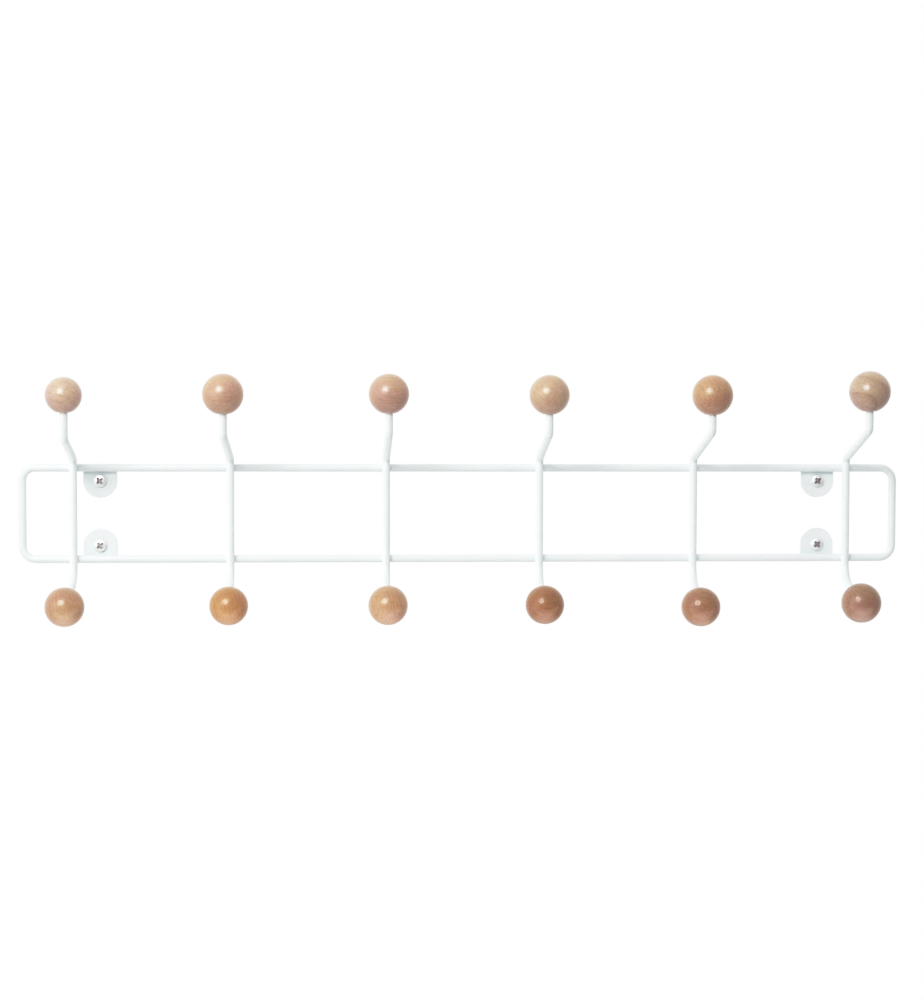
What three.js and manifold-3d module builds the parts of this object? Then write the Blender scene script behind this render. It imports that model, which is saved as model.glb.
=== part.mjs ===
// Wall coat rack: a closed loop of coated steel wire, six double hooks welded across its front,
// a drilled wooden ball glued on each hook end, and four tabs behind the loop for the wall screws.
//
// Millimetres. +X is to the right along the rack, +Z is up, and the rack's front faces -Y.
// The wall is the plane Y = 0. The origin lies on it, midway between the four screw holes.

import * as THREE from 'three';
import { mergeVertices } from 'three/addons/utils/BufferGeometryUtils.js';
import Module from 'manifold-3d';

const wasm = await Module();
wasm.setup();

// ---------- driving dimensions ----------

const WIRE_DIAMETER = 6;
const FIT_GAP = 0.3; // clearance between pieces that touch, are welded or are glued

const FRAME_LENGTH = 684; // outside the wire
const FRAME_HEIGHT = 76.5; // outside the wire
const FRAME_CORNER_RADIUS = 10; // to the wire's centre line

const HOOK_COUNT = 6;
const HOOK_PITCH = 120;
const ELBOW_HEIGHT = 42.8; // where the upper arm leaves the upright
const UPPER_BEND_RADIUS = 5;
const LOWER_CORNER_HEIGHT = -52; // where the upright's line meets the lower arm's line
const LOWER_BEND_RADIUS = 18;

const BALL_DIAMETER = 30;
const BALL_HOLE_DEPTH = 14;
const BALL_HOLE_CHAMFER = 1.3;
const UPPER_BALL_REACH = 71; // forward of the upright, to the ball's centre
const UPPER_BALL_HEIGHT = 92;
const LOWER_BALL_REACH = 47;
const LOWER_BALL_HEIGHT = -67;

const TAB_WIDTH = 26;
const TAB_THICKNESS = 2;
const TAB_SPACING = 560; // between the left and right screw holes
const TAB_HOLE_DIAMETER = 5;
const TAB_HOLE_HEIGHT = 25; // above or below the middle of the frame
const TAB_OVERLAP = 2; // how far a tab reaches past the frame wire's centre line

const SCREW_LENGTH = 35;
const SCREW_DIAMETER = 4;
const SCREW_POINT_LENGTH = 6;
const SCREW_HEAD_DIAMETER = 9.4;
const SCREW_HEAD_RIM = 1.6;
const SCREW_HEAD_HEIGHT = 2.6;
const CROSS_RECESS_LENGTH = 6;
const CROSS_RECESS_WIDTH = 1.6;
const CROSS_RECESS_DEPTH = 1.8;
const CROSS_RECESS_TURN = 40; // degrees, anticlockwise from level as seen from the front

// The hooks are bent and the balls turned one by one, so each strays a little from the pattern.
// The upright's place, and each ball's place and diameter, are given as differences from it;
// stem is the length of wire between the upper ball's centre and the bend below it.
const UPRIGHT_RIGHT = [0.5, 0.5, 0.5, -0.5, 0, 0.5];
const UPPER_BALLS = [
  { right: 2.5, up: -1, over: -3, stem: 32 },
  { right: -1.5, up: 0, over: 0.5, stem: 30.5 },
  { right: 0.5, up: 0.5, over: 0, stem: 30 },
  { right: 0.5, up: 0, over: 0, stem: 29 },
  { right: 2, up: 0, over: 0.5, stem: 27.5 },
  { right: 0, up: 3, over: 1, stem: 29 },
];
const LOWER_BALLS = [
  { right: -1, up: 0, over: 0 },
  { right: 1, up: 0.5, over: -0.5 },
  { right: 0.5, up: 0.5, over: 0 },
  { right: 0, up: 0.5, over: -0.5 },
  { right: -1.5, up: -1.5, over: 0 },
  { right: 1.5, up: 1, over: 0.5 },
];

// ---------- how finely round things are divided ----------

const WIRE_SIDES = 12;
const BEND_STEPS = 5;
const BALL_SIDES = 24;
const BALL_RINGS = 9;
const TAB_END_STEPS = 10;
const SCREW_SIDES = 16;
const SCREW_DOME_STEPS = 4;

// ---------- places that follow ----------

const WIRE_RADIUS = WIRE_DIAMETER / 2;
const FRAME_Y = -(TAB_THICKNESS + FIT_GAP + WIRE_RADIUS);
const UPRIGHT_Y = FRAME_Y - WIRE_DIAMETER - FIT_GAP;
const FRAME_HALF_LENGTH = FRAME_LENGTH / 2 - WIRE_RADIUS;
const FRAME_HALF_HEIGHT = FRAME_HEIGHT / 2 - WIRE_RADIUS;

// ---------- materials ----------

function coatedSteel() {
  return new THREE.MeshStandardMaterial({ color: '#f1f5f5', roughness: 0.42, metalness: 0 });
}

function lacqueredBeech() {
  return new THREE.MeshStandardMaterial({ color: '#c49a78', roughness: 0.35, metalness: 0 });
}

function zincPlate() {
  return new THREE.MeshStandardMaterial({ color: '#d8dadb', roughness: 0.3, metalness: 1 });
}

// ---------- bent wire ----------

// A corner of a bent wire becomes an arc that is tangent to the straight runs on both sides of it.
function bendStations(before, corner, after, radius) {
  const incoming = corner.clone().sub(before).normalize();
  const outgoing = after.clone().sub(corner).normalize();
  const turn = incoming.angleTo(outgoing);
  const inward = outgoing.clone().addScaledVector(incoming, -Math.cos(turn)).normalize();
  const start = corner.clone().addScaledVector(incoming, -radius * Math.tan(turn / 2));
  const stations = [];
  for (let step = 0; step <= BEND_STEPS; step += 1) {
    const angle = (turn * step) / BEND_STEPS;
    const position = start.clone()
      .addScaledVector(incoming, radius * Math.sin(angle))
      .addScaledVector(inward, radius * (1 - Math.cos(angle)));
    const tangent = incoming.clone().multiplyScalar(Math.cos(angle))
      .addScaledVector(inward, Math.sin(angle));
    stations.push({ position, tangent });
  }
  return stations;
}

// The line of a wire as a list of stations. A sweep with one step per station meets each of them,
// so the bends are finely divided and the straight runs are not divided at all.
class WireLine extends THREE.Curve {
  constructor(stations) {
    super();
    this.stations = stations;
  }

  station(t) {
    return this.stations[Math.round(t * (this.stations.length - 1))];
  }

  getPoint(t, target = new THREE.Vector3()) {
    return target.copy(this.station(t).position);
  }

  getTangent(t, target = new THREE.Vector3()) {
    return target.copy(this.station(t).tangent);
  }

  getUtoTmapping(u) {
    return u;
  }
}

function sweepWire(stations) {
  const section = new THREE.Shape(new THREE.Path().absarc(0, 0, WIRE_RADIUS, 0, 2 * Math.PI)
    .getSpacedPoints(WIRE_SIDES).slice(0, WIRE_SIDES));
  return new THREE.ExtrudeGeometry(section, {
    steps: stations.length - 1,
    extrudePath: new WireLine(stations),
    bevelEnabled: false,
  });
}

function openWire(corners, radii) {
  const last = corners.length - 1;
  const firstRun = corners[1].clone().sub(corners[0]).normalize();
  const lastRun = corners[last].clone().sub(corners[last - 1]).normalize();
  const bends = radii.flatMap((radius, i) => (
    bendStations(corners[i], corners[i + 1], corners[i + 2], radius)));
  return sweepWire([
    { position: corners[0], tangent: firstRun },
    ...bends,
    { position: corners[last], tangent: lastRun },
  ]);
}

// A closed loop ends on the ring of points that it starts from, so it keeps only its side faces.
function closedWire(corners, radius) {
  const count = corners.length;
  const bends = corners.flatMap((corner, i) => (
    bendStations(corners[(i + count - 1) % count], corner, corners[(i + 1) % count], radius)));
  const swept = sweepWire([...bends, bends[0]]);
  const sides = swept.groups.find((group) => group.materialIndex === 1);
  const position = swept.getAttribute('position').array
    .slice(3 * sides.start, 3 * (sides.start + sides.count));
  const loop = new THREE.BufferGeometry();
  loop.setAttribute('position', new THREE.BufferAttribute(position, 3));
  return loop;
}

// ---------- booleans ----------

function toSolid(geometry) {
  const bare = geometry.clone();
  bare.deleteAttribute('normal');
  bare.deleteAttribute('uv');
  const merged = mergeVertices(bare, 1e-4);
  return new wasm.Manifold(new wasm.Mesh({
    numProp: 3,
    vertProperties: merged.getAttribute('position').array,
    triVerts: Uint32Array.from(merged.getIndex().array),
  }));
}

function fromSolid(solid) {
  const mesh = solid.getMesh();
  const geometry = new THREE.BufferGeometry();
  geometry.setAttribute('position', new THREE.BufferAttribute(mesh.vertProperties, 3));
  geometry.setIndex(new THREE.BufferAttribute(mesh.triVerts, 1));
  geometry.computeVertexNormals();
  return geometry;
}

// ---------- sub-parts ----------

function named(name, geometry, material) {
  const mesh = new THREE.Mesh(geometry, material);
  mesh.name = name;
  return mesh;
}

function frameLoop() {
  const corners = [[-1, 1], [1, 1], [1, -1], [-1, -1]].map(([side, level]) => (
    new THREE.Vector3(side * FRAME_HALF_LENGTH, FRAME_Y, level * FRAME_HALF_HEIGHT)));
  return named('frame_loop', closedWire(corners, FRAME_CORNER_RADIUS), coatedSteel());
}

// A ball is turned about the line of its blind hole, whose chamfered mouth is at the bottom.
function ballGeometry(radius) {
  const holeRadius = WIRE_RADIUS + FIT_GAP;
  const mouthRadius = holeRadius + BALL_HOLE_CHAMFER;
  const mouthAngle = Math.asin(mouthRadius / radius);
  const mouthHeight = -radius * Math.cos(mouthAngle);
  const profile = [
    new THREE.Vector2(0, -radius + BALL_HOLE_DEPTH),
    new THREE.Vector2(holeRadius, -radius + BALL_HOLE_DEPTH),
    new THREE.Vector2(holeRadius, mouthHeight + BALL_HOLE_CHAMFER),
  ];
  for (let ring = 0; ring < BALL_RINGS; ring += 1) {
    const angle = mouthAngle + ((Math.PI - mouthAngle) * ring) / BALL_RINGS;
    profile.push(new THREE.Vector2(radius * Math.sin(angle), -radius * Math.cos(angle)));
  }
  profile.push(new THREE.Vector2(0, radius));
  return new THREE.LatheGeometry(profile, BALL_SIDES);
}

function ball(name, radius, centre, towardsWire) {
  const mesh = named(name, ballGeometry(radius), lacqueredBeech());
  mesh.position.copy(centre);
  mesh.quaternion.setFromUnitVectors(new THREE.Vector3(0, -1, 0), towardsWire);
  return mesh;
}

function wireEndFromCentre(ballRadius) {
  return ballRadius - BALL_HOLE_DEPTH + FIT_GAP;
}

// One hook: an upright welded across the frame, an upper arm with a short stem that stands up
// into its ball, and a lower arm that curves forward and down into the back of its ball.
function hookWithBalls(index) {
  const x = (index - (HOOK_COUNT - 1) / 2) * HOOK_PITCH + UPRIGHT_RIGHT[index];
  const upper = UPPER_BALLS[index];
  const lower = LOWER_BALLS[index];
  const upperRadius = (BALL_DIAMETER + upper.over) / 2;
  const lowerRadius = (BALL_DIAMETER + lower.over) / 2;
  const upperCentre = new THREE.Vector3(
    x + upper.right, UPRIGHT_Y - UPPER_BALL_REACH, UPPER_BALL_HEIGHT + upper.up);
  const lowerCentre = new THREE.Vector3(
    x + lower.right, UPRIGHT_Y - LOWER_BALL_REACH, LOWER_BALL_HEIGHT + lower.up);
  const knee = upperCentre.clone().setZ(upperCentre.z - upper.stem);
  const elbow = new THREE.Vector3(x, UPRIGHT_Y, ELBOW_HEIGHT);
  const lowerCorner = new THREE.Vector3(x, UPRIGHT_Y, LOWER_CORNER_HEIGHT);

  const upperEntry = knee.clone().sub(upperCentre).normalize();
  const lowerEntry = lowerCorner.clone().sub(lowerCentre).normalize();
  const upperEnd = upperCentre.clone().addScaledVector(upperEntry, wireEndFromCentre(upperRadius));
  const lowerEnd = lowerCentre.clone().addScaledVector(lowerEntry, wireEndFromCentre(lowerRadius));
  const wire = openWire(
    [upperEnd, knee, elbow, lowerCorner, lowerEnd],
    [UPPER_BEND_RADIUS, UPPER_BEND_RADIUS, LOWER_BEND_RADIUS],
  );

  const number = index + 1;
  return [
    named(`hook_${number}`, wire, coatedSteel()),
    ball(`upper_ball_${number}`, upperRadius, upperCentre, upperEntry),
    ball(`lower_ball_${number}`, lowerRadius, lowerCentre, lowerEntry),
  ];
}

// A tab hangs from the frame wire and ends in a half circle about its screw hole.
function tabGeometry() {
  const half = TAB_WIDTH / 2;
  const flatEnd = FRAME_HALF_HEIGHT - TAB_HOLE_HEIGHT + TAB_OVERLAP;
  const outline = new THREE.Shape();
  outline.moveTo(half, flatEnd);
  outline.lineTo(-half, flatEnd);
  outline.lineTo(-half, 0);
  outline.absarc(0, 0, half, Math.PI, 2 * Math.PI);
  outline.holes.push(new THREE.Path().absarc(0, 0, TAB_HOLE_DIAMETER / 2, 0, 2 * Math.PI));
  const sheet = new THREE.ExtrudeGeometry(outline, {
    depth: TAB_THICKNESS,
    curveSegments: TAB_END_STEPS,
    bevelEnabled: false,
  });
  return sheet.rotateX(Math.PI / 2);
}

// A pan-head screw, turned about its axis with the head at the top, then cut with a cross recess.
function screwGeometry() {
  const radius = SCREW_DIAMETER / 2;
  const headRadius = SCREW_HEAD_DIAMETER / 2;
  const domeHeight = SCREW_HEAD_HEIGHT - SCREW_HEAD_RIM;
  const profile = [
    new THREE.Vector2(0, -SCREW_LENGTH),
    new THREE.Vector2(radius, -SCREW_LENGTH + SCREW_POINT_LENGTH),
    new THREE.Vector2(radius, 0),
    new THREE.Vector2(headRadius, 0),
  ];
  for (let step = 0; step < SCREW_DOME_STEPS; step += 1) {
    const angle = (Math.PI / 2) * (step / SCREW_DOME_STEPS);
    profile.push(new THREE.Vector2(
      headRadius * Math.cos(angle), SCREW_HEAD_RIM + domeHeight * Math.sin(angle)));
  }
  profile.push(new THREE.Vector2(0, SCREW_HEAD_HEIGHT));
  const blank = toSolid(new THREE.LatheGeometry(profile, SCREW_SIDES));
  const cutHeight = 2 * CROSS_RECESS_DEPTH;
  const turn = THREE.MathUtils.degToRad(CROSS_RECESS_TURN);
  const arms = [turn, turn + Math.PI / 2].map((angle) => (
    toSolid(new THREE.BoxGeometry(CROSS_RECESS_LENGTH, cutHeight, CROSS_RECESS_WIDTH)
      .rotateY(angle).translate(0, SCREW_HEAD_HEIGHT, 0))));
  return fromSolid(blank.subtract(arms[0]).subtract(arms[1])).rotateX(Math.PI);
}

function tabAndScrew(side, level) {
  const place = `${level > 0 ? 'upper' : 'lower'}_${side > 0 ? 'right' : 'left'}`;
  const x = (side * TAB_SPACING) / 2;
  const z = level * TAB_HOLE_HEIGHT;
  const tab = named(`tab_${place}`, tabGeometry(), coatedSteel());
  tab.position.set(x, 0, z);
  tab.rotation.y = level > 0 ? 0 : Math.PI;
  const screw = named(`screw_${place}`, screwGeometry(), zincPlate());
  screw.position.set(x, -(TAB_THICKNESS + FIT_GAP), z);
  return [tab, screw];
}

// ---------- the rack ----------

const rack = new THREE.Group();
rack.name = 'wall_coat_rack';
rack.add(frameLoop());
for (let index = 0; index < HOOK_COUNT; index += 1) {
  rack.add(...hookWithBalls(index));
}
for (const side of [-1, 1]) {
  for (const level of [1, -1]) {
    rack.add(...tabAndScrew(side, level));
  }
}

export default rack;
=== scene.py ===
"""A wall coat rack: white-coated steel wire, turned beech balls, round-ended tabs and zinc screws.

Metres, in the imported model's frame: +X to the right, +Z up, the front faces -Y and the wall is Y = 0.
Every CAD node is replaced by a finer piece in the same place.
"""

import math

import bmesh
import bpy
from mathutils import Euler, Matrix, Vector


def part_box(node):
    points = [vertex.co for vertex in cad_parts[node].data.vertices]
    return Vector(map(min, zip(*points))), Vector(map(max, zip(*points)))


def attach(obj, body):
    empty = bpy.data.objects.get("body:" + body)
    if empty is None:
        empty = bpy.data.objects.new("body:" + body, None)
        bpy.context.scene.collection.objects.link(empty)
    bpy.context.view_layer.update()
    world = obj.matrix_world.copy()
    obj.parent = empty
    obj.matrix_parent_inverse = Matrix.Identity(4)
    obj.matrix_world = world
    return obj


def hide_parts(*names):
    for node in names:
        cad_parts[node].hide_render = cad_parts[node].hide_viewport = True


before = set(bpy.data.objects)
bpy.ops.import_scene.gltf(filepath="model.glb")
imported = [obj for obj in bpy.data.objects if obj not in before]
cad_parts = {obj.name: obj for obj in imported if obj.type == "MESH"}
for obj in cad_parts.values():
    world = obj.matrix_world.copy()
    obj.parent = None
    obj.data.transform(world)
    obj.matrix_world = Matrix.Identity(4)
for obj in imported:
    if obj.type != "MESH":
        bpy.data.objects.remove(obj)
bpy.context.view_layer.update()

MM = 0.001

# ---------- places from the frame ----------


def corners_of(node):
    low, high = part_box(node)
    return Vector(low), Vector(high)


loop_low, loop_high = corners_of("frame_loop")
hook_back = corners_of("hook_1")[1].y
tab_low, tab_high = corners_of("tab_upper_left")

WIRE_RADIUS = (loop_high.y - loop_low.y) / 2
LOOP_Y = (loop_high.y + loop_low.y) / 2
LOOP_HALF_LENGTH = loop_high.x - WIRE_RADIUS
LOOP_HALF_HEIGHT = loop_high.z - WIRE_RADIUS
UPRIGHT_Y = hook_back - WIRE_RADIUS
TAB_FRONT_Y = tab_low.y
TAB_HALF_WIDTH = (tab_high.x - tab_low.x) / 2

# ---------- dimensions that the frame's boxes don't give ----------

LOOP_CORNER_RADIUS = 10 * MM
HOOK_COUNT = 6
HOOK_PITCH = 120 * MM
# each upright's place off the even spacing, and the stem between each upper ball and its knee
UPRIGHT_RIGHT = [0.5 * MM, 0.5 * MM, 0.5 * MM, -0.5 * MM, 0, 0.5 * MM]
UPPER_STEMS = [32 * MM, 30.5 * MM, 30 * MM, 29 * MM, 27.5 * MM, 29 * MM]
ELBOW_HEIGHT = 42.8 * MM
UPPER_BEND_RADIUS = 5 * MM
LOWER_CORNER_HEIGHT = -52 * MM
LOWER_BEND_RADIUS = 18 * MM

BALL_HOLE_RADIUS = 3.3 * MM
BALL_HOLE_DEPTH = 14 * MM
BALL_HOLE_CHAMFER = 1.3 * MM
WIRE_END_GAP = 0.3 * MM

TAB_HOLE_RADIUS = 2.5 * MM
TAB_EDGE_ROUNDING = 0.5 * MM
TAB_CORNER_RADIUS = 1.5 * MM
TAB_DIMPLE_RADIUS = 6.6 * MM
TAB_DIMPLE_DEPTH = 0.35 * MM
TAB_DIMPLE_STEEPNESS = 3.2

SCREW_HEAD_RADIUS = 4.7 * MM
SCREW_HEAD_HEIGHT = 2.6 * MM
SCREW_HEAD_RIM = 1.6 * MM
SCREW_RADIUS = 2 * MM
SCREW_CORE_RADIUS = 1.45 * MM
SCREW_POINT_LENGTH = 6 * MM
SCREW_PLAIN_LENGTH = 4 * MM
SCREW_NECK_RADIUS = SCREW_CORE_RADIUS + 0.2 * MM
SCREW_NECK_LENGTH = SCREW_PLAIN_LENGTH - 0.4 * MM
SCREW_HEAD_EDGE = 0.25 * MM
SCREW_THREAD_PITCH = 1.8 * MM
SCREW_THREAD_RUN_IN = 2 * MM
# half the width of the thread's ridge, as a share of its pitch
SCREW_RIDGE_SHARE = 0.22
RECESS_ARM_LENGTH = 3.0 * MM
RECESS_ARM_HALF_WIDTH = 0.95 * MM
RECESS_DEPTH = 1.8 * MM
RECESS_TURN = math.radians(40)

# how much a bend flattens the wire, as a share of its radius
LOOP_FLATTENING = 0.03
HOOK_FLATTENING = 0.06

CROSS_WELD_REACH = 2.1 * MM
CROSS_WELD_THROAT = 1.4 * MM
CROSS_WELD_BITE = 0.12 * MM
TAB_WELD_HALF_DEPTH = 0.75 * MM
TAB_WELD_HALF_HEIGHT = 1.9 * MM
TAB_WELD_END_GAP = 1.5 * MM

# ---------- how finely things are divided ----------

WIRE_SIDES = 40
BEND_STEPS = 18
RUN_STEP = 6 * MM
BALL_SIDES = 112
BALL_RINGS = 64
CROSS_WELD_SIDES = 56
CROSS_WELD_ROWS = 10
TAB_WELD_SIDES = 20
TAB_WELD_STEPS = 48
TAB_END_STEPS = 64
TAB_CORNER_STEPS = 8
TAB_RADIAL_STEPS = 22
TAB_EDGE_STEPS = 5
TAB_HOLE_STEPS = 4
SCREW_SIDES = 72
SCREW_HEAD_RINGS = 20
SCREW_STEPS_PER_TURN = 12
RECESS_TIP_HALF_STEPS = 3
FLOOR_SIDES = 96

# ---------- mesh building ----------


def skin(name, rings, closed=False):
    """A mesh from rings of points, each joined to the next. A ring of one point is a pole."""
    points = []
    starts = []
    for ring in rings:
        starts.append(len(points))
        points.extend(ring)
    faces = []
    pairs = [(i, i + 1) for i in range(len(rings) - 1)]
    if closed:
        pairs.append((len(rings) - 1, 0))
    for a, b in pairs:
        size_a, size_b = len(rings[a]), len(rings[b])
        for k in range(max(size_a, size_b)):
            k_next = k + 1
            quad = [
                starts[a] + k % size_a,
                starts[a] + k_next % size_a,
                starts[b] + k_next % size_b,
                starts[b] + k % size_b,
            ]
            faces.append(list(dict.fromkeys(quad)))
    mesh = bpy.data.meshes.new(name)
    mesh.from_pydata([tuple(p) for p in points], [], faces)
    face_outwards(mesh)
    return mesh


def face_outwards(mesh):
    shell = bmesh.new()
    shell.from_mesh(mesh)
    bmesh.ops.recalc_face_normals(shell, faces=shell.faces)
    shell.to_mesh(mesh)
    shell.free()


def piece(name, mesh, material, replaced=(), place=None, sharp_angle=35):
    """Puts a mesh in the scene as a named piece of the rack."""
    obj = bpy.data.objects.new(name, mesh)
    if place is not None:
        obj.matrix_world = place
    bpy.context.scene.collection.objects.link(obj)
    if not mesh.materials:
        mesh.materials.append(material)
    mesh.shade_smooth()
    mesh.set_sharp_from_angle(angle=math.radians(sharp_angle))
    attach(obj, "root")
    if replaced:
        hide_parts(*replaced)
    return obj


# ---------- bent wire ----------


def bend(before, corner, after, radius):
    """The stations round a bend in the wire.

    Each holds a position, a tangent, the direction of the bend's centre and a share of the squeeze.
    """
    incoming = (corner - before).normalized()
    outgoing = (after - corner).normalized()
    turn = incoming.angle(outgoing)
    inward = (outgoing - incoming * math.cos(turn)).normalized()
    start = corner - incoming * radius * math.tan(turn / 2)
    stations = []
    for step in range(BEND_STEPS + 1):
        angle = turn * step / BEND_STEPS
        tangent = incoming * math.cos(angle) + inward * math.sin(angle)
        to_centre = inward * math.cos(angle) - incoming * math.sin(angle)
        position = start + incoming * radius * math.sin(angle) + inward * radius * (1 - math.cos(angle))
        squeeze = math.sin(math.pi * step / BEND_STEPS) ** 0.5
        stations.append((position, tangent, to_centre, squeeze))
    return stations


def with_runs(stations, closed=False):
    """Adds stations along the straight runs, so that their faces aren't needle-shaped."""
    out = []
    pairs = list(zip(stations, stations[1:] + stations[:1]))
    for index, (here, there) in enumerate(pairs):
        out.append(here)
        if index == len(pairs) - 1 and not closed:
            break
        gap = there[0] - here[0]
        count = int(gap.length / RUN_STEP)
        for k in range(1, count):
            out.append((here[0] + gap * k / count, gap.normalized(), here[2], 0.0))
    return out


def sweep(name, stations, squeeze_by, closed=False):
    """A round wire along its stations, a little flattened where it is bent."""
    tangent = stations[0][1]
    normal = tangent.orthogonal().normalized()
    rings = []
    for position, next_tangent, to_centre, squeeze in stations:
        normal = tangent.rotation_difference(next_tangent) @ normal
        tangent = next_tangent
        binormal = tangent.cross(normal)
        ring = []
        for side in range(WIRE_SIDES):
            angle = 2 * math.pi * side / WIRE_SIDES
            offset = (normal * math.cos(angle) + binormal * math.sin(angle)) * WIRE_RADIUS
            towards = offset.dot(to_centre) * to_centre
            offset = offset - towards * squeeze_by * squeeze
            ring.append(position + offset)
        rings.append(ring)
    if not closed:
        rings = [[stations[0][0]]] + rings + [[stations[-1][0]]]
    return skin(name, rings, closed)


def frame_loop_mesh():
    """The closed loop: a rounded rectangle of wire."""
    corners = [
        Vector((side * LOOP_HALF_LENGTH, LOOP_Y, level * LOOP_HALF_HEIGHT))
        for side, level in ((-1, 1), (1, 1), (1, -1), (-1, -1))
    ]
    stations = []
    for k, corner in enumerate(corners):
        stations += bend(corners[k - 1], corner, corners[(k + 1) % 4], LOOP_CORNER_RADIUS)
    return sweep("frame_loop_mesh", with_runs(stations, closed=True), LOOP_FLATTENING, closed=True)


def hook_mesh(name, corners, radii):
    """A wire from the first corner to the last, with a bend of each radius at the corners between."""
    first = (corners[1] - corners[0]).normalized()
    last = (corners[-1] - corners[-2]).normalized()
    stations = [(corners[0], first, first.orthogonal().normalized(), 0.0)]
    for k, radius in enumerate(radii):
        stations += bend(corners[k], corners[k + 1], corners[k + 2], radius)
    stations.append((corners[-1], last, last.orthogonal().normalized(), 0.0))
    return sweep(name, with_runs(stations), HOOK_FLATTENING)


# ---------- welds ----------


def cross_weld_mesh(name, centre, half_gap):
    """The fillet between an upright, in front and along Z, and a loop wire, behind and along X."""
    axis_offset = WIRE_RADIUS + half_gap
    rings = [[centre + Vector((0, -half_gap - CROSS_WELD_BITE, 0))]]
    for row in range(CROSS_WELD_ROWS + 1):
        t = row / CROSS_WELD_ROWS
        flare = (2 * t - 1) ** 2
        ring = []
        for side in range(CROSS_WELD_SIDES):
            angle = 2 * math.pi * side / CROSS_WELD_SIDES
            radius = CROSS_WELD_THROAT + (CROSS_WELD_REACH - CROSS_WELD_THROAT) * flare
            x = radius * math.cos(angle)
            z = radius * math.sin(angle)
            front = -axis_offset + math.sqrt(WIRE_RADIUS**2 - x * x) - CROSS_WELD_BITE
            back = axis_offset - math.sqrt(WIRE_RADIUS**2 - z * z) + CROSS_WELD_BITE
            ring.append(centre + Vector((x, front + (back - front) * t, z)))
        rings.append(ring)
    rings.append([centre + Vector((0, half_gap + CROSS_WELD_BITE, 0))])
    return skin(name, rings)


def tab_weld_mesh(name, centre, half_length):
    """A lens-shaped bead that fills the corner between a loop wire and the tab's face behind it."""
    rings = []
    for step in range(TAB_WELD_STEPS + 1):
        t = step / TAB_WELD_STEPS * 2 - 1
        swell = math.sqrt(max(0.0, 1 - t**6))
        along = Vector((t * half_length, 0, 0))
        if swell < 1e-6:
            rings.append([centre + along])
            continue
        rings.append([
            centre + along + Vector((
                0,
                TAB_WELD_HALF_DEPTH * swell * math.cos(2 * math.pi * k / TAB_WELD_SIDES),
                TAB_WELD_HALF_HEIGHT * swell * math.sin(2 * math.pi * k / TAB_WELD_SIDES),
            ))
            for k in range(TAB_WELD_SIDES)
        ])
    return skin(name, rings)


# ---------- balls ----------


def ball_mesh(name, ball_radius):
    """A turned ball about its own Z axis, with the chamfered mouth of its blind hole at the bottom."""
    mouth_radius = BALL_HOLE_RADIUS + BALL_HOLE_CHAMFER
    mouth_angle = math.asin(mouth_radius / ball_radius)
    mouth_height = -ball_radius * math.cos(mouth_angle)
    hole_top = -ball_radius + BALL_HOLE_DEPTH
    profile = [(0.0, hole_top), (BALL_HOLE_RADIUS, hole_top)]
    profile += [(BALL_HOLE_RADIUS, mouth_height + BALL_HOLE_CHAMFER)]
    for ring in range(BALL_RINGS):
        angle = mouth_angle + (math.pi - mouth_angle) * ring / BALL_RINGS
        profile.append((ball_radius * math.sin(angle), -ball_radius * math.cos(angle)))
    profile.append((0.0, ball_radius))
    return lathe(name, profile, BALL_SIDES)


def lathe(name, profile, sides):
    """Turns (radius, height) points about Z. A radius of zero is a pole."""
    rings = []
    for radius, height in profile:
        if radius == 0:
            rings.append([Vector((0, 0, height))])
            continue
        rings.append([
            Vector((
                radius * math.cos(2 * math.pi * k / sides),
                radius * math.sin(2 * math.pi * k / sides),
                height,
            ))
            for k in range(sides)
        ])
    return skin(name, rings)


# ---------- tabs ----------


def tab_outline(flat_end):
    """Points and outward normals round a tab, in the plane of its screw hole's centre."""
    half = TAB_HALF_WIDTH
    corner = TAB_CORNER_RADIUS
    outline = []
    for k in range(TAB_END_STEPS + 1):
        angle = math.pi + math.pi * k / TAB_END_STEPS
        normal = Vector((math.cos(angle), math.sin(angle)))
        outline.append((normal * half, normal))
    for centre_x, start in ((half - corner, 0.0), (-half + corner, math.pi / 2)):
        if start == 0.0:
            outline += [(Vector((half, z)), Vector((1, 0))) for z in (0.3 * flat_end, 0.6 * flat_end)]
        for k in range(TAB_CORNER_STEPS + 1):
            angle = start + math.pi / 2 * k / TAB_CORNER_STEPS
            normal = Vector((math.cos(angle), math.sin(angle)))
            outline.append((Vector((centre_x, flat_end - corner)) + normal * corner, normal))
        if start == 0.0:
            for x in (0.6, 0.3, 0.0, -0.3, -0.6):
                outline.append((Vector((x * half, flat_end)), Vector((0, 1))))
    outline += [(Vector((-half, z)), Vector((-1, 0))) for z in (0.6 * flat_end, 0.3 * flat_end)]
    return outline


def dimple(distance):
    """How far the sheet is pressed back at this distance from the screw hole."""
    if distance >= TAB_DIMPLE_RADIUS:
        return 0.0
    rise = min(1.0, TAB_DIMPLE_STEEPNESS * (1 - distance / TAB_DIMPLE_RADIUS))
    return TAB_DIMPLE_DEPTH * rise**2 * (3 - 2 * rise)


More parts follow.
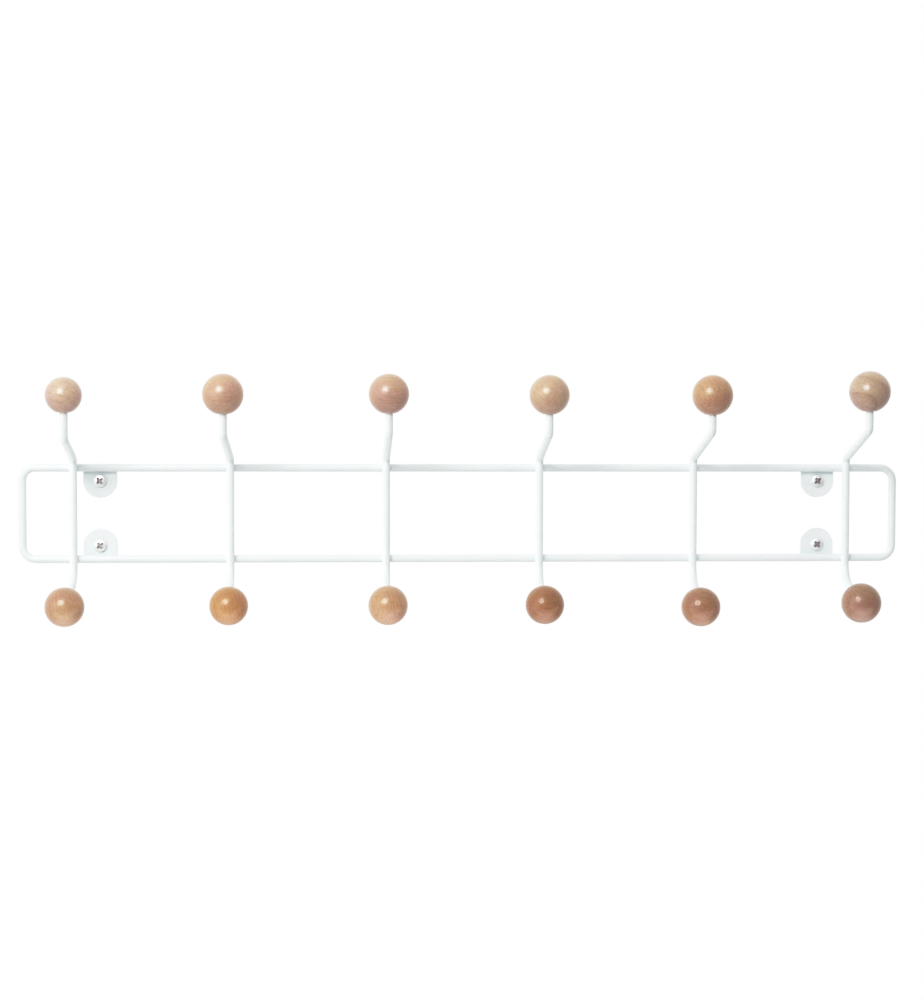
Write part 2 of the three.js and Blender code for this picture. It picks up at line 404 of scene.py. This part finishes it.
def tab_mesh(name, flat_end):
    """A pressed sheet tab in the XZ plane, front face at -thickness, with rounded edges."""
    outline = tab_outline(flat_end)
    thickness = -TAB_FRONT_Y
    rounding = TAB_EDGE_ROUNDING

    def face_ring(share, inset, y, follow_dimple):
        """A ring between the hole (share 0) and the tab's outline (share 1)."""
        ring = []
        for point, normal in outline:
            rim = point - normal * inset
            hole = rim.normalized() * (TAB_HOLE_RADIUS + rounding)
            flat = hole.lerp(rim, share)
            press = dimple(flat.length) if follow_dimple else 0.0
            ring.append(Vector((flat.x, y + press, flat.y)))
        return ring

    rings = []
    for k in range(TAB_RADIAL_STEPS + 1):
        rings.append(face_ring(k / TAB_RADIAL_STEPS, rounding, -thickness, True))
    for k in range(1, TAB_EDGE_STEPS + 1):
        angle = math.pi / 2 * k / TAB_EDGE_STEPS
        inset = rounding * (1 - math.sin(angle))
        rings.append(face_ring(1, inset, -thickness + rounding * (1 - math.cos(angle)), False))
    for k in range(TAB_EDGE_STEPS + 1):
        angle = math.pi / 2 * k / TAB_EDGE_STEPS
        inset = rounding * (1 - math.cos(angle))
        rings.append(face_ring(1, inset, -rounding * (1 - math.sin(angle)), False))
    for k in range(1, TAB_RADIAL_STEPS + 1):
        rings.append(face_ring(1 - k / TAB_RADIAL_STEPS, rounding, 0.0, False))
    # the hole's wall starts and ends a lead-in short of the two faces
    lead_in = 0.15 * MM
    pressed_front = -thickness + TAB_DIMPLE_DEPTH
    for k in range(TAB_HOLE_STEPS + 1):
        y = -lead_in + (pressed_front + 2 * lead_in) * k / TAB_HOLE_STEPS
        rings.append([
            Vector((p.x, y, p.y))
            for p in (point.normalized() * TAB_HOLE_RADIUS for point, _ in outline)
        ])
    return skin(name, rings, closed=True)


# ---------- screws ----------


def cross_outline(grow):
    """The cross recess's outline: four arms with rounded ends, as seen along the screw."""
    width = RECESS_ARM_HALF_WIDTH + grow
    length = RECESS_ARM_LENGTH + grow
    corner = width * 1.12
    tip_length = 0.6 * width
    tip_half_width = 0.85 * width
    tip = Vector((length - tip_length, 0))
    outline = []
    for arm in range(4):
        turn = Matrix.Rotation(RECESS_TURN + arm * math.pi / 2, 2)
        outline.append(turn @ Vector((corner, -corner)))
        for k in range(2 * RECESS_TIP_HALF_STEPS + 1):
            angle = math.pi / 2 * (k / RECESS_TIP_HALF_STEPS - 1)
            rounding = Vector((tip_length * math.cos(angle), tip_half_width * math.sin(angle)))
            outline.append(turn @ (tip + rounding))
    return outline


def recess_cutter():
    """A tapering cross that is sunk into the head, with a small lead-in at its top."""
    # height above the head's top, and how much larger the cross is there
    levels = (
        (0.6 * MM, 0.16 * MM),
        (0.0, 0.16 * MM),
        (-0.16 * MM, 0.0),
        (-RECESS_DEPTH * 0.7, -0.12 * MM),
        (-RECESS_DEPTH, -0.3 * MM),
    )
    rings = [[Vector((0, -SCREW_HEAD_HEIGHT - levels[0][0], 0))]]
    for height, grow in levels:
        rings.append([Vector((p.x, -SCREW_HEAD_HEIGHT - height, p.y)) for p in cross_outline(grow)])
    rings.append([Vector((0, -SCREW_HEAD_HEIGHT + RECESS_DEPTH, 0))])
    return skin("recess_cutter", rings)


def cut(mesh, cutter_mesh):
    """Takes one closed mesh out of another. The cut faces get the second material."""
    scene = bpy.context.scene.collection
    target = bpy.data.objects.new("target", mesh)
    cutter = bpy.data.objects.new("cutter", cutter_mesh)
    scene.objects.link(target)
    scene.objects.link(cutter)
    boolean = target.modifiers.new("recess", "BOOLEAN")
    boolean.operation = "DIFFERENCE"
    boolean.solver = "EXACT"
    boolean.material_mode = "TRANSFER"
    boolean.object = cutter
    evaluated = target.evaluated_get(bpy.context.evaluated_depsgraph_get())
    result = bpy.data.meshes.new_from_object(evaluated)
    bpy.data.objects.remove(target)
    bpy.data.objects.remove(cutter)
    return result


def screw_ring(radius, y):
    """A ring about the screw's axis. radius may be a function of the share of a turn and of y."""
    ring = []
    for side in range(SCREW_SIDES):
        share = side / SCREW_SIDES
        r = radius(share, y) if callable(radius) else radius
        angle = 2 * math.pi * share
        ring.append(Vector((r * math.cos(angle), y, r * math.sin(angle))))
    return ring


def screw_mesh(name, length):
    """A screw along Y: the head's underside is at y = 0, its top in front and its point at +length."""
    dome = SCREW_HEAD_HEIGHT - SCREW_HEAD_RIM

    def thread(turn_share, y):
        """The shank's radius: a ridge that winds round a core, both dying out at the point."""
        phase = (y / SCREW_THREAD_PITCH - turn_share) % 1.0
        ridge = max(0.0, 1 - abs(phase - 0.5) / SCREW_RIDGE_SHARE)
        left = length - y
        core = SCREW_CORE_RADIUS * min(1.0, left / SCREW_POINT_LENGTH) ** 0.8
        run_in = (y - SCREW_PLAIN_LENGTH) / SCREW_THREAD_RUN_IN
        fade = min(1.0, run_in, left / (SCREW_POINT_LENGTH * 0.6))
        return core + (SCREW_RADIUS - SCREW_CORE_RADIUS) * max(0.0, fade) * ridge

    rings = [[Vector((0, -SCREW_HEAD_HEIGHT, 0))]]
    for k in range(1, SCREW_HEAD_RINGS + 1):
        angle = math.pi / 2 * k / SCREW_HEAD_RINGS
        height = SCREW_HEAD_RIM + dome * math.cos(angle)
        rings.append(screw_ring(SCREW_HEAD_RADIUS * math.sin(angle), -height))
    rings.append(screw_ring(SCREW_HEAD_RADIUS, -SCREW_HEAD_EDGE))
    rings.append(screw_ring(SCREW_HEAD_RADIUS - SCREW_HEAD_EDGE, 0))
    rings.append(screw_ring(SCREW_RADIUS + SCREW_HEAD_EDGE, 0))
    rings.append(screw_ring(SCREW_NECK_RADIUS, SCREW_HEAD_EDGE))
    rings.append(screw_ring(SCREW_NECK_RADIUS, SCREW_NECK_LENGTH))
    threaded = length - SCREW_PLAIN_LENGTH
    steps = int(threaded / (SCREW_THREAD_PITCH / SCREW_STEPS_PER_TURN))
    for k in range(steps):
        rings.append(screw_ring(thread, SCREW_PLAIN_LENGTH + threaded * k / steps))
    rings.append([Vector((0, length, 0))])
    blank = skin(name, rings)
    blank.materials.append(zinc)
    cutter = recess_cutter()
    # the recess walls take the darker zinc, which paints the shade inside the cross
    cutter.materials.append(zinc_painted_recess_shade)
    return cut(blank, cutter)


# ---------- materials ----------

# tints that multiply a ball's own tone
YELLOWER = (1.02, 1.04, 0.94)
PINKER = (0.98, 0.92, 0.98)
LATE_WOOD = (0.66, 0.56, 0.50)
RAY_FLECK = (0.55, 0.45, 0.40)


def add(tree, kind, inputs=None, **settings):
    """Adds a shader node. inputs maps sockets to values or to the sockets that feed them."""
    made = tree.nodes.new(kind)
    for key, value in settings.items():
        setattr(made, key, value)
    for key, value in (inputs or {}).items():
        if isinstance(value, bpy.types.NodeSocket):
            tree.links.new(value, made.inputs[key])
        else:
            made.inputs[key].default_value = value
    return made


def new_material(name):
    material = bpy.data.materials.new(name)
    material.use_nodes = True
    material.node_tree.nodes.clear()
    return material, material.node_tree


def finish_material(tree, inputs):
    shader = add(tree, "ShaderNodeBsdfPrincipled", inputs)
    add(tree, "ShaderNodeOutputMaterial", {"Surface": shader.outputs["BSDF"]})


def maths(tree, operation, a, b=0.0):
    return add(tree, "ShaderNodeMath", {0: a, 1: b}, operation=operation).outputs[0]


def vector_maths(tree, operation, inputs):
    return add(tree, "ShaderNodeVectorMath", inputs, operation=operation)


def remap(tree, value, low, high, to_low, to_high):
    """Turns a value between low and high into one between to_low and to_high, with soft ends."""
    made = add(tree, "ShaderNodeMapRange", {
        "Value": value, "From Min": low, "From Max": high, "To Min": to_low, "To Max": to_high,
    }, interpolation_type="SMOOTHSTEP")
    return made.outputs["Result"]


def mix_colour(tree, factor, a, b, blend_type="MIX"):
    made = add(tree, "ShaderNodeMix", {0: factor, 6: a, 7: b}, data_type="RGBA", blend_type=blend_type)
    return made.outputs[2]


def rgba(colour):
    return (*colour, 1.0)


def white_coating():
    """Satin powder coat: a very fine orange peel, with gloss that wanders a little."""
    material, tree = new_material("white_coating")
    where = add(tree, "ShaderNodeTexCoord").outputs["Object"]
    peel = add(tree, "ShaderNodeTexNoise", {"Vector": where, "Scale": 900.0, "Detail": 3.0}).outputs[0]
    drift = add(tree, "ShaderNodeTexNoise", {"Vector": where, "Scale": 70.0, "Detail": 2.0}).outputs[0]
    colour = mix_colour(
        tree, remap(tree, drift, 0.35, 0.65, 0.0, 1.0),
        rgba((0.83, 0.885, 0.895)), rgba((0.85, 0.90, 0.905)))
    bump = add(tree, "ShaderNodeBump", {"Strength": 0.5, "Distance": 0.02 * MM, "Height": peel})
    finish_material(tree, {
        "Base Color": colour,
        "Roughness": remap(tree, drift, 0.3, 0.7, 0.33, 0.43),
        "Normal": bump.outputs["Normal"],
    })
    return material


def zinc_plate(name, dark, light, low_roughness, high_roughness):
    """Zinc on steel, slightly cloudy, with fine tooling marks."""
    material, tree = new_material(name)
    where = add(tree, "ShaderNodeTexCoord").outputs["Object"]
    cloud = add(tree, "ShaderNodeTexNoise", {"Vector": where, "Scale": 500.0, "Detail": 4.0}).outputs[0]
    marks = add(tree, "ShaderNodeTexNoise", {"Vector": where, "Scale": 4000.0, "Detail": 2.0}).outputs[0]
    colour = mix_colour(
        tree, remap(tree, cloud, 0.3, 0.7, 0.0, 1.0), rgba(dark), rgba(light))
    bump = add(tree, "ShaderNodeBump", {"Strength": 0.35, "Distance": 0.01 * MM, "Height": marks})
    finish_material(tree, {
        "Base Color": colour,
        "Metallic": 1.0,
        "Roughness": remap(tree, cloud, 0.3, 0.7, low_roughness, high_roughness),
        "Normal": bump.outputs["Normal"],
    })
    return material


def beech(name, look):
    """Lacquered beech: growth rings about a pith outside the ball, fibres, and short ray flecks."""
    material, tree = new_material(name)
    where = add(tree, "ShaderNodeTexCoord").outputs["Object"]
    log = add(tree, "ShaderNodeMapping", {
        "Vector": where,
        "Rotation": tuple(math.radians(a) for a in look["grain"]),
        "Location": tuple(c * MM for c in look["pith"]),
    }).outputs[0]

    # growth rings: distance from the pith, wavering along the log
    waver = add(tree, "ShaderNodeTexNoise", {"Vector": log, "Scale": 45.0, "Detail": 2.0})
    shift = vector_maths(tree, "SUBTRACT", {0: waver.outputs["Color"], 1: (0.5, 0.5, 0.5)})
    shift = vector_maths(tree, "SCALE", {0: shift.outputs[0], "Scale": 5 * MM})
    bent = vector_maths(tree, "ADD", {0: log, 1: shift.outputs[0]}).outputs[0]
    across = vector_maths(tree, "MULTIPLY", {0: bent, 1: (1, 1, 0)}).outputs[0]
    radius = vector_maths(tree, "LENGTH", {0: across}).outputs["Value"]
    phase = maths(tree, "FRACT", maths(tree, "MULTIPLY", radius, 1 / (look["ring"] * MM)))
    late = add(tree, "ShaderNodeValToRGB", {"Fac": phase})
    ramp = late.color_ramp.elements
    ramp[0].position, ramp[0].color = 0.0, rgba((0.35,) * 3)
    ramp[1].position, ramp[1].color = 1.0, rgba((0.4,) * 3)
    for position, level in ((0.15, 0.05), (0.6, 0.25), (0.88, 0.85), (0.95, 1.0)):
        ramp.new(position).color = rgba((level,) * 3)
    ring_tone = maths(tree, "MULTIPLY", late.outputs["Color"], look["contrast"])

    # fibres run along the log; flecks are the ends of the rays
    stretched = add(tree, "ShaderNodeMapping", {"Vector": log, "Scale": (1, 1, 0.05)}).outputs[0]
    fibres = add(tree, "ShaderNodeTexNoise", {
        "Vector": stretched, "Scale": 1100.0, "Detail": 3.0, "Roughness": 0.6}).outputs[0]
    dashes = add(tree, "ShaderNodeMapping", {"Vector": log, "Scale": (1, 1, 0.16)}).outputs[0]
    flecks = add(tree, "ShaderNodeTexNoise", {"Vector": dashes, "Scale": 2600.0, "Detail": 1.0})
    fleck_mask = remap(tree, flecks.outputs[0], 0.62, 0.72, 0.0, 0.3)

    # the tint drifts in patches from yellow to pink, the wood's own tone; the pull towards pink at each
    # ball's lower right, the side away from the key, is painted shade
    patches = add(tree, "ShaderNodeTexNoise", {"Vector": bent, "Scale": 65.0, "Detail": 2.0})
    # painted shade: the same lean towards the lower right on every ball, in world axes
    painted_shade_lean = vector_maths(tree, "DOT_PRODUCT", {0: where, 1: (3, 0, -9)})
    pinkness = maths(tree, "ADD", patches.outputs[0], painted_shade_lean.outputs["Value"])
    tint = mix_colour(
        tree, remap(tree, pinkness, 0.3, 0.7, 0.0, 1.0), rgba(YELLOWER), rgba(PINKER))
    colour = mix_colour(tree, 1.0, rgba(look["tone"]), tint, "MULTIPLY")
    ring_colour = mix_colour(tree, 1.0, colour, rgba(LATE_WOOD), "MULTIPLY")
    colour = mix_colour(tree, ring_tone, colour, ring_colour)
    fibre_tone = remap(tree, fibres, 0.25, 0.75, 0.86, 1.14)
    tone = add(tree, "ShaderNodeCombineColor", {0: fibre_tone, 1: fibre_tone, 2: fibre_tone}).outputs[0]
    colour = mix_colour(tree, 1.0, colour, tone, "MULTIPLY")
    fleck_colour = mix_colour(tree, 1.0, colour, rgba(RAY_FLECK), "MULTIPLY")
    colour = mix_colour(tree, fleck_mask, colour, fleck_colour)
    bump = add(tree, "ShaderNodeBump", {"Strength": 0.25, "Distance": 0.02 * MM, "Height": fibres})
    finish_material(tree, {
        "Base Color": colour,
        "Roughness": remap(tree, fibres, 0.2, 0.8, 0.42, 0.58),
        "Normal": bump.outputs["Normal"],
        "Sheen Weight": 0.15,
        "Sheen Roughness": 0.35,
        "Coat Weight": 1.0,
        "Coat Roughness": look["lacquer_roughness"],
        "Coat IOR": 1.6,
    })
    return material


def wood(tone, grain, pith, ring, contrast, lacquer_roughness):
    """One ball's wood and lacquer.

    Its tone, how the log lay (degrees), the pith's place and the rings' width (mm), how strongly the
    rings show, and how rough the lacquer is.
    """
    return {
        "tone": tone,
        "grain": grain,
        "pith": pith,
        "ring": ring,
        "contrast": contrast,
        "lacquer_roughness": lacquer_roughness,
    }


UPPER_LOOKS = [
    wood((0.61, 0.46, 0.37), (20, 70, 0), (38, 12, 0), 5.0, 0.2, 0.28),
    wood((0.56, 0.38, 0.29), (0, 84, 0), (30, 30, 0), 1.9, 0.14, 0.28),
    wood((0.53, 0.36, 0.28), (5, 88, 0), (42, -8, 0), 2.1, 0.12, 0.28),
    wood((0.56, 0.41, 0.30), (30, 40, 20), (45, 22, 0), 3.6, 0.12, 0.28),
    wood((0.50, 0.32, 0.21), (50, 20, 0), (44, 15, 0), 3.4, 0.15, 0.26),
    wood((0.51, 0.38, 0.31), (80, 12, 0), (12, -11, 0), 12.5, 0.5, 0.26),
]
LOWER_LOOKS = [
    wood((0.46, 0.30, 0.19), (0, 4, 0), (34, 14, 0), 2.6, 0.15, 0.22),
    wood((0.46, 0.26, 0.12), (0, 10, 0), (40, 20, 0), 3.0, 0.15, 0.22),
    wood((0.49, 0.31, 0.20), (3, 2, 0), (30, 25, 0), 2.4, 0.3, 0.22),
    wood((0.33, 0.17, 0.085), (10, 80, 0), (35, 10, 0), 3.0, 0.15, 0.17),
    wood((0.34, 0.19, 0.115), (15, 75, 0), (32, 18, 0), 3.2, 0.14, 0.17),
    wood((0.33, 0.20, 0.14), (70, 10, 0), (38, 12, 0), 3.0, 0.14, 0.17),
]

# ---------- the rack ----------

coating = white_coating()
zinc = zinc_plate("zinc_plate", (0.95, 0.955, 0.96), (0.98, 0.98, 0.98), 0.42, 0.55)
# a darker copy of the zinc for the walls of the cross recess: painted shade in the hollow
zinc_painted_recess_shade = zinc_plate("zinc_with_painted_recess_shade", (0.46, 0.44, 0.44), (0.59, 0.57, 0.57), 0.5, 0.7)


def ball_place(node):
    """Centre and radius of a ball. Its box is a little flat at the mouth of its hole."""
    low, high = corners_of(node)
    radius = (high.x - low.x) / 2
    centre = (low + high) / 2
    centre.y = low.y + radius
    if node.startswith("upper"):
        centre.z = high.z - radius
    return centre, radius


# the pieces that one lamp each is kept for
lower_balls = bpy.data.collections.new("lower_balls")
hook_wires = bpy.data.collections.new("hook_wires")


def build_hook(index):
    """One hook with its two balls and the two welds that hold it to the loop."""
    number = index + 1
    x = (index - (HOOK_COUNT - 1) / 2) * HOOK_PITCH + UPRIGHT_RIGHT[index]
    upper, upper_radius = ball_place(f"upper_ball_{number}")
    lower, lower_radius = ball_place(f"lower_ball_{number}")
    knee = upper - Vector((0, 0, UPPER_STEMS[index]))
    elbow = Vector((x, UPRIGHT_Y, ELBOW_HEIGHT))
    corner = Vector((x, UPRIGHT_Y, LOWER_CORNER_HEIGHT))
    upper_entry = (knee - upper).normalized()
    lower_entry = (corner - lower).normalized()
    upper_end = upper + upper_entry * (upper_radius - BALL_HOLE_DEPTH + WIRE_END_GAP)
    lower_end = lower + lower_entry * (lower_radius - BALL_HOLE_DEPTH + WIRE_END_GAP)
    mesh = hook_mesh(
        f"hook_{number}_mesh",
        [upper_end, knee, elbow, corner, lower_end],
        [UPPER_BEND_RADIUS, UPPER_BEND_RADIUS, LOWER_BEND_RADIUS])
    wire = piece(f"hook_wire_{number}", mesh, coating, [f"hook_{number}"])
    hook_wires.objects.link(wire)

    for level, centre, radius, entry, looks in (
        ("upper", upper, upper_radius, upper_entry, UPPER_LOOKS),
        ("lower", lower, lower_radius, lower_entry, LOWER_LOOKS),
    ):
        turned = Vector((0, 0, -1)).rotation_difference(entry).to_matrix().to_4x4()
        ball = ball_mesh(f"{level}_ball_{number}_mesh", radius)
        ball.transform(turned)
        made = piece(
            f"{level}_wood_ball_{number}", ball, beech(f"beech_{level}_{number}", looks[index]),
            [f"{level}_ball_{number}"], Matrix.Translation(centre))
        if level == "lower":
            lower_balls.objects.link(made)

    gap = LOOP_Y - UPRIGHT_Y - 2 * WIRE_RADIUS
    for level in (1, -1):
        place = "upper" if level > 0 else "lower"
        middle = Vector((x, (LOOP_Y + UPRIGHT_Y) / 2, level * LOOP_HALF_HEIGHT))
        weld = cross_weld_mesh(f"{place}_weld_{number}_mesh", middle, gap / 2)
        piece(f"{place}_weld_{number}", weld, coating)


def build_tab(level_name, side_name):
    """One tab with its weld to the loop and its screw. The lower tabs are the upper ones upside down."""
    place = f"{level_name}_{side_name}"
    level = 1 if level_name == "upper" else -1
    low, high = corners_of(f"tab_{place}")
    hole = Vector(((low.x + high.x) / 2, 0, 0))
    hole.z = low.z + TAB_HALF_WIDTH if level > 0 else high.z - TAB_HALF_WIDTH
    flat_end = (high.z if level > 0 else -low.z) - level * hole.z
    turn = Matrix.Rotation(0 if level > 0 else math.pi, 4, "Y")
    mesh = tab_mesh(f"tab_{place}_mesh", flat_end)
    mesh.transform(Matrix.Translation(hole) @ turn)
    piece(f"sheet_tab_{place}", mesh, coating, [f"tab_{place}"])

    seam = Vector((hole.x, (TAB_FRONT_Y + LOOP_Y + WIRE_RADIUS) / 2, level * LOOP_HALF_HEIGHT))
    weld = tab_weld_mesh(f"tab_weld_{place}_mesh", seam, TAB_HALF_WIDTH - TAB_WELD_END_GAP)
    piece(f"tab_weld_{place}", weld, coating)

    screw_low, screw_high = corners_of(f"screw_{place}")
    underside = screw_low.y + SCREW_HEAD_HEIGHT
    screw = screw_mesh(f"screw_{place}_mesh", screw_high.y - underside)
    screw.transform(Matrix.Translation(Vector((hole.x, underside, hole.z))))
    piece(f"wall_screw_{place}", screw, zinc, [f"screw_{place}"], sharp_angle=28)


piece("frame_wire", frame_loop_mesh(), coating, ["frame_loop"])
for hook_index in range(HOOK_COUNT):
    build_hook(hook_index)
for level_name in ("upper", "lower"):
    for side_name in ("left", "right"):
        build_tab(level_name, side_name)

# ---------- floor, camera and light ----------

FLOOR_HEIGHT = -1.0
FLOOR_RADIUS = 0.8
FLOOR_THICKNESS = 0.01


def build_floor():
    """A round pale floor below the rack, small enough to stay out of the camera's view."""
    material, tree = new_material("pale_floor")
    where = add(tree, "ShaderNodeTexCoord").outputs["Object"]
    mottle = add(tree, "ShaderNodeTexNoise", {"Vector": where, "Scale": 9.0, "Detail": 3.0}).outputs[0]
    colour = mix_colour(
        tree, remap(tree, mottle, 0.3, 0.7, 0.0, 1.0),
        rgba((0.69, 0.69, 0.68)), rgba((0.71, 0.71, 0.70)))
    finish_material(tree, {"Base Color": colour, "Roughness": 0.7})
    underside = FLOOR_HEIGHT - FLOOR_THICKNESS
    profile = [
        (0.0, underside),
        (FLOOR_RADIUS, underside),
        (FLOOR_RADIUS, FLOOR_HEIGHT),
        (0.0, FLOOR_HEIGHT),
    ]
    floor = bpy.data.objects.new("floor", lathe("floor_mesh", profile, FLOOR_SIDES))
    floor.data.materials.append(material)
    bpy.context.scene.collection.objects.link(floor)


CAMERA_DISTANCE = 1.607
CAMERA_YAW = math.radians(3.34)
CAMERA_PITCH = math.radians(2.93)
CAMERA_ROLL = math.radians(0.13)
CAMERA_AIM = Vector((-0.0007, UPRIGHT_Y, 0.0105))
CAMERA_LENS = 74.6
CAMERA_SENSOR = 36
CAMERA_FAR_LIMIT = 20


def build_camera():
    """The photograph's viewing angle: almost square on, a little from the left and from above."""
    data = bpy.data.cameras.new("camera")
    data.sensor_width = CAMERA_SENSOR
    data.lens = CAMERA_LENS
    data.clip_end = CAMERA_FAR_LIMIT
    camera = bpy.data.objects.new("camera", data)
    turn = Euler((math.pi / 2 - CAMERA_PITCH, -CAMERA_ROLL, -CAMERA_YAW), "XYZ").to_matrix()
    place = CAMERA_AIM + turn @ Vector((0, 0, CAMERA_DISTANCE))
    camera.matrix_world = Matrix.Translation(place) @ turn.to_4x4()
    bpy.context.scene.collection.objects.link(camera)
    bpy.context.scene.camera = camera


KEY_PLACE = (-0.72, -1.55, 0.87)
RACK_MIDDLE = (0, 0, 0)
SOFT_WHITE = (1.0, 0.99, 0.97)


def area_light(name, position, target, size, watts, shape="RECTANGLE"):
    """A soft lamp of the given width and height, turned towards its target."""
    data = bpy.data.lights.new(name, "AREA")
    data.shape = shape
    data.size, data.size_y = size
    data.energy = watts
    data.color = SOFT_WHITE
    light = bpy.data.objects.new(name, data)
    light.location = position
    light.rotation_euler = (Vector(target) - Vector(position)).to_track_quat("-Z", "Y").to_euler()
    light.visible_camera = False
    bpy.context.scene.collection.objects.link(light)
    return light


TONE_CURVE = ((0.15, 0.11), (0.3, 0.29), (0.45, 0.52), (0.6, 0.72), (0.8, 0.89))


def set_tone_curve():
    """White stays white; the middle tones get a little more contrast, as a studio camera gives them."""
    view = bpy.context.scene.view_settings
    view.view_transform = "Standard"
    view.use_curve_mapping = True
    curve = view.curve_mapping.curves[3]
    for level, shown_level in TONE_CURVE:
        curve.points.new(level, shown_level)
    view.curve_mapping.update()


SURROUNDINGS_LEVEL = 0.66
SURROUNDINGS_SLOPE = (-0.11, 0.25, 0.15)


def build_surroundings():
    """White all round to the eye; as light it is brighter from the left, from above and from behind."""
    world = bpy.data.worlds.new("surroundings")
    bpy.context.scene.world = world
    world.use_nodes = True
    tree = world.node_tree
    tree.nodes.clear()
    towards = add(tree, "ShaderNodeTexCoord").outputs["Generated"]
    slope = vector_maths(tree, "DOT_PRODUCT", {0: towards, 1: SURROUNDINGS_SLOPE})
    level = maths(tree, "ADD", slope.outputs["Value"], SURROUNDINGS_LEVEL)
    light = add(tree, "ShaderNodeBackground", {"Color": rgba((1.0, 1.0, 1.0)), "Strength": level})
    white = add(tree, "ShaderNodeBackground", {"Color": rgba((1.0, 1.0, 1.0)), "Strength": 1.0})
    seen = add(tree, "ShaderNodeLightPath").outputs["Is Camera Ray"]
    both = add(tree, "ShaderNodeMixShader", {0: seen, 1: light.outputs[0], 2: white.outputs[0]})
    add(tree, "ShaderNodeOutputWorld", {"Surface": both.outputs[0]})


def build_lights():
    """A key from the upper left, split into what lights and what glints, and small soft helpers."""
    key = area_light("key", KEY_PLACE, RACK_MIDDLE, size=(0.7, 0.7), watts=14, shape="DISK")
    key.visible_glossy = False
    glint = area_light("key_gloss", KEY_PLACE, RACK_MIDDLE, size=(0.86, 0.86), watts=18, shape="DISK")
    glint.visible_diffuse = False

    # a pale surface under the rack, mirrored in the undersides of the lower balls
    mirrored = area_light("under_gloss", (0, -0.06, -0.115), (0, -0.05, 0), size=(0.78, 0.14), watts=0.13)
    mirrored.data.spread = math.radians(105)
    mirrored.visible_diffuse = False
    mirrored.light_linking.receiver_collection = lower_balls

    # light that comes back from the lower left onto the undersides of the hooks' arms
    fill = area_light("wire_fill", (-0.75, -0.12, -0.6), (-0.2, -0.05, 0.05), size=(0.5, 0.5), watts=1.8)
    fill.visible_glossy = False
    fill.light_linking.receiver_collection = hook_wires

    area_light("left_fill", (-1.0, -0.7, 0.1), (-0.2, 0, 0), size=(0.7, 0.7), watts=0.8)
    area_light("under_card", (0, -0.11, -0.11), (0, -0.058, -0.067), size=(0.76, 0.05), watts=0.085)


build_floor()
build_camera()
build_surroundings()
build_lights()
set_tone_curve()
